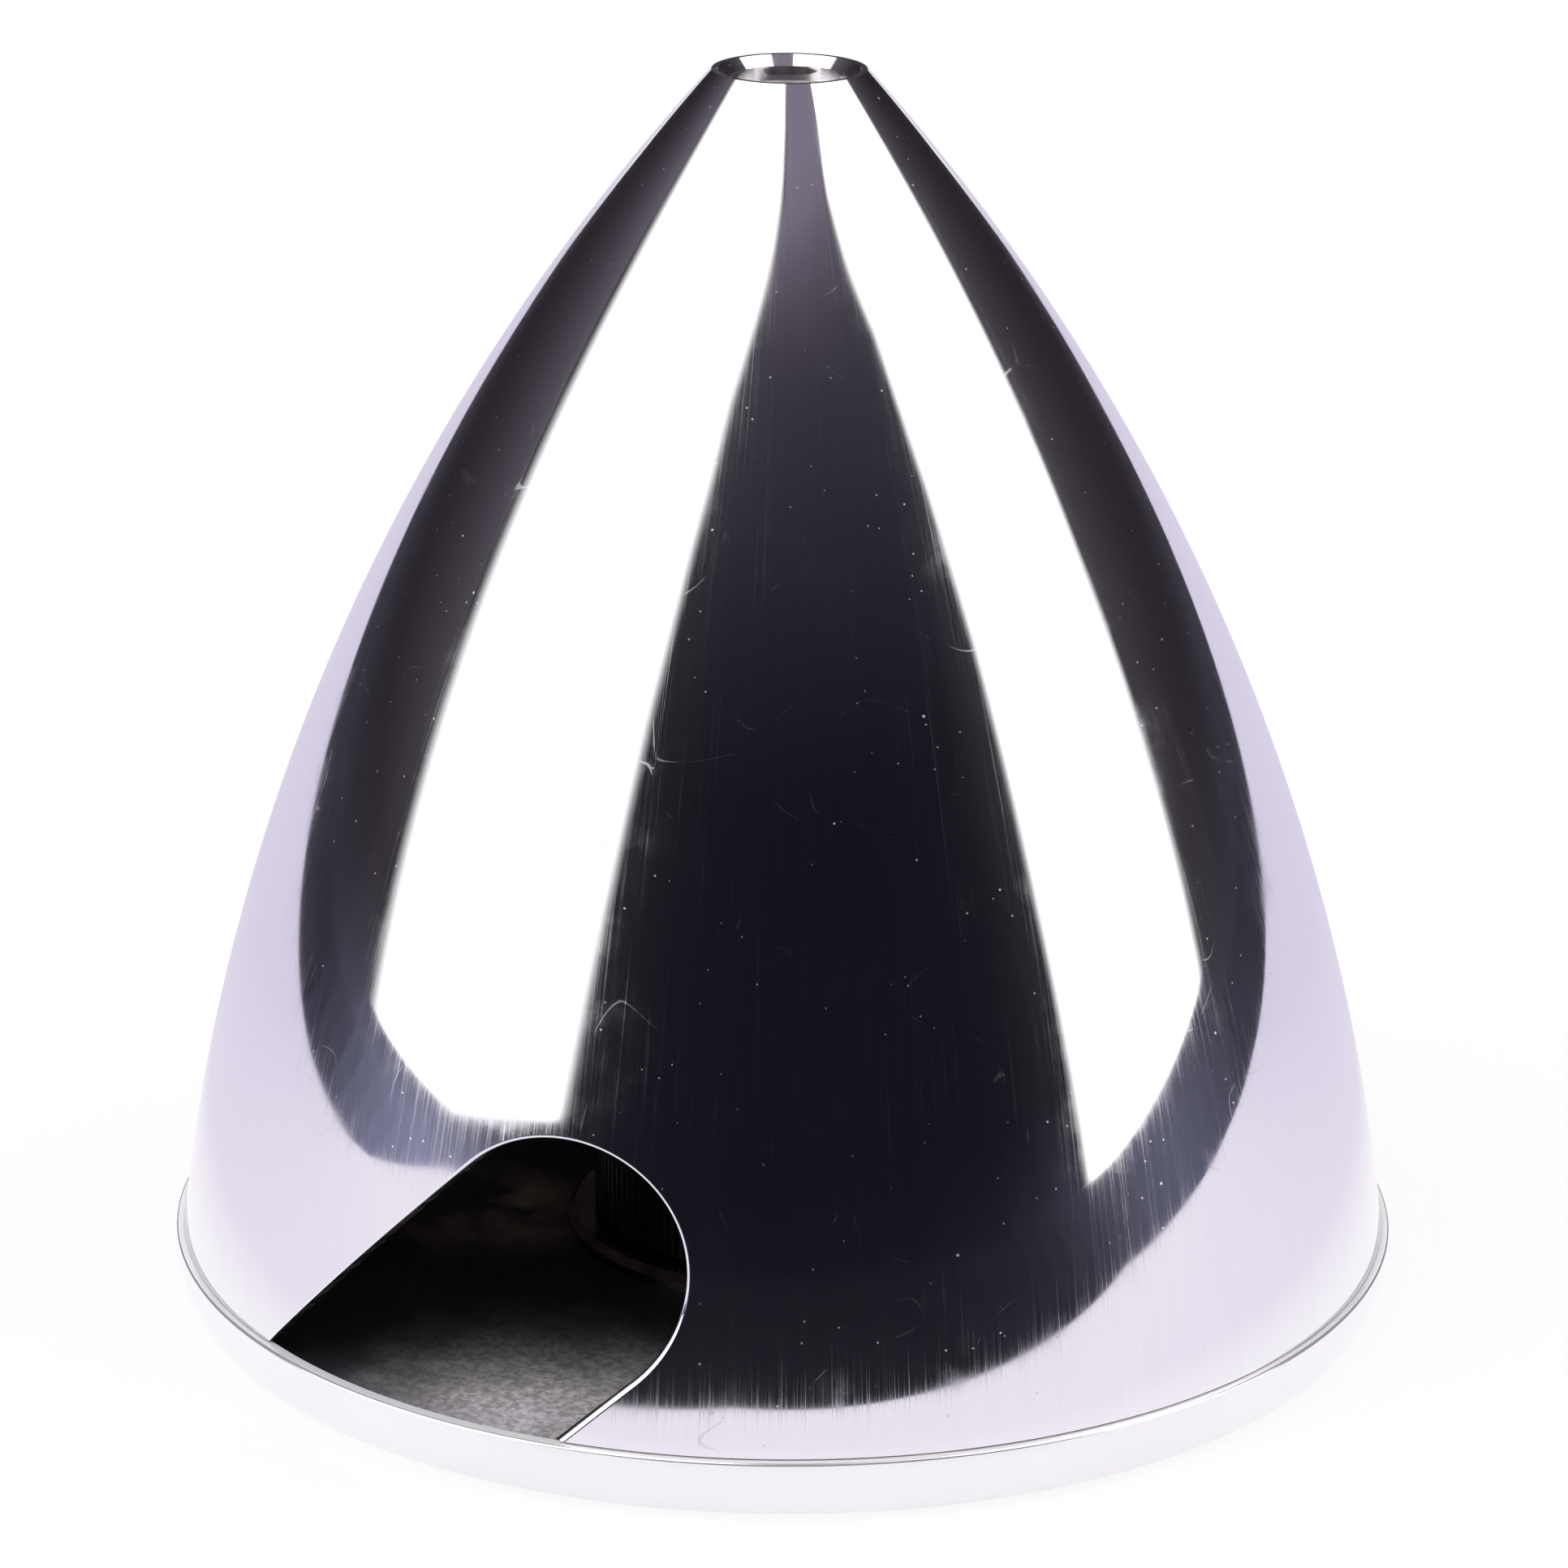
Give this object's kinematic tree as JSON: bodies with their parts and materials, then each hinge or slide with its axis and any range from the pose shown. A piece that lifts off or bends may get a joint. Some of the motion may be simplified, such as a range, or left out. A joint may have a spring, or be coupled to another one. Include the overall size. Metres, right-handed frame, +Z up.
{
  "type": "propeller spinner",
  "caption": "Polished aluminium ogive spinner on a crowned backplate, with slanted blade slots, a knurled drive collar and a nose screw into an adapter nut.",
  "frame": {"origin": "centre of the backplate's rear face, which is the bottom of the part", "axes": "+Z up the axis towards the nose; the blade slots face -Y and +Y, and lean towards -X and +X going down"},
  "size_m": [0.076, 0.076, 0.0756],
  "materials": {
    "polished_aluminium": "mirror polish outside, dull and dark inside",
    "satin_aluminium": "satin rim, bead-blasted floor",
    "black_steel": "black oxide, knurled",
    "bush_brass": "turned",
    "washer_steel": "black oxide",
    "nut_steel": "black oxide",
    "screw_steel": "black oxide"
  },
  "bodies": {
    "root": {"spinner_cone": "polished_aluminium", "backplate": "satin_aluminium", "drive_collar": "black_steel", "shaft_bush": "bush_brass", "prop_washer": "washer_steel", "adapter_nut": "nut_steel", "nose_screw": "screw_steel"}
  },
  "joints": []
}
